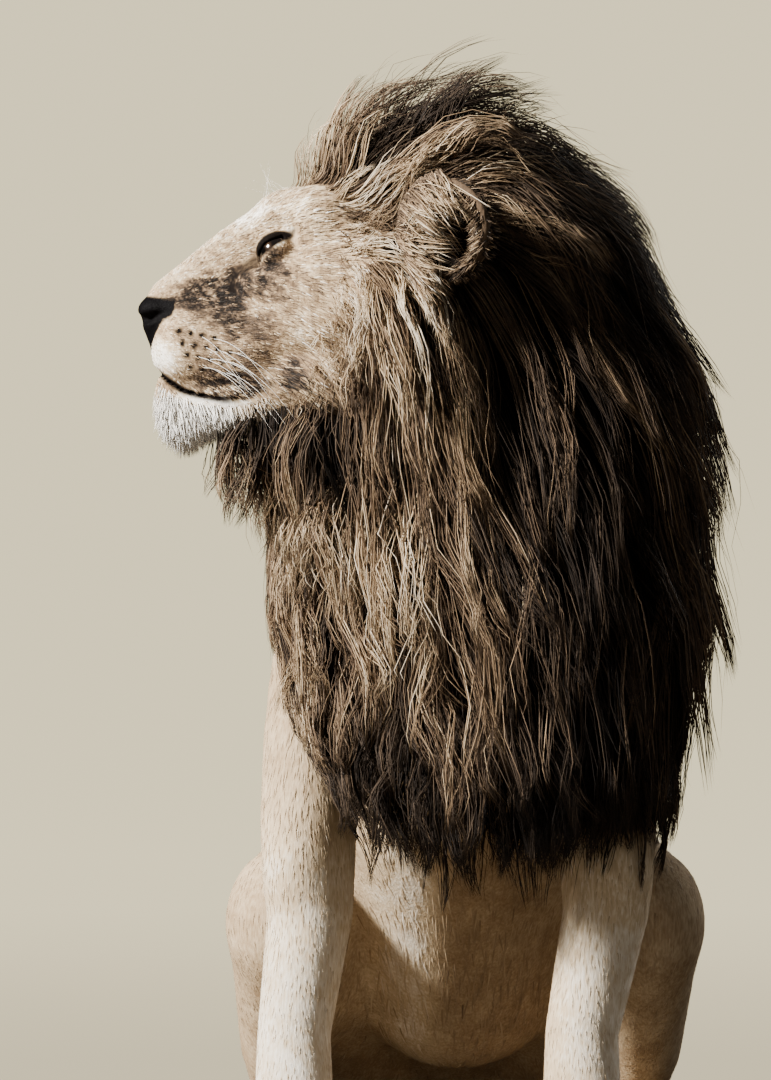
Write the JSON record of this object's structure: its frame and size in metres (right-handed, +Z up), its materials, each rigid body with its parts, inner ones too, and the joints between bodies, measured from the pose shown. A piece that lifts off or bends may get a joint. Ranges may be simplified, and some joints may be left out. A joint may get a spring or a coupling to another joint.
{
  "type": "lion model",
  "caption": "Still life-size model of a male lion sitting upright, head turned to its right, with a full dark mane and its tail laid around the left haunch.",
  "frame": {"origin": "on the floor, under the middle of the bounding box", "axes": "+Z up; the lion's body faces -Y; its own left side is +X; its head looks to -X"},
  "size_m": [0.6463, 1.1962, 1.1541],
  "materials": {
    "fur": "short tan fur, matt",
    "pale_fur": "short white fur of the chin, matt",
    "mane": "long brown hair, slight sheen",
    "dark_mane": "long near-black hair, slight sheen",
    "nose_leather": "fine-grained black skin, slightly moist",
    "eye": "wet amber eye"
  },
  "bodies": {
    "root": {"head": "fur", "lower_jaw": "pale_fur", "nose": "nose_leather", "eye_left": "eye", "eye_right": "eye", "ear_left": "fur", "ear_right": "fur", "mane_crown": "mane", "mane_neck": "mane", "mane_chest": "dark_mane", "trunk": "fur", "rump": "fur", "upper_arm_left": "fur", "forearm_left": "fur", "forepaw_left": "fur", "upper_arm_right": "fur", "forearm_right": "fur", "forepaw_right": "fur", "thigh_left": "fur", "shank_left": "fur", "hindfoot_left": "fur", "thigh_right": "fur", "shank_right": "fur", "hindfoot_right": "fur", "tail_root": "fur", "tail_middle": "fur", "tail_end": "fur", "tail_tuft": "dark_mane"}
  },
  "joints": []
}
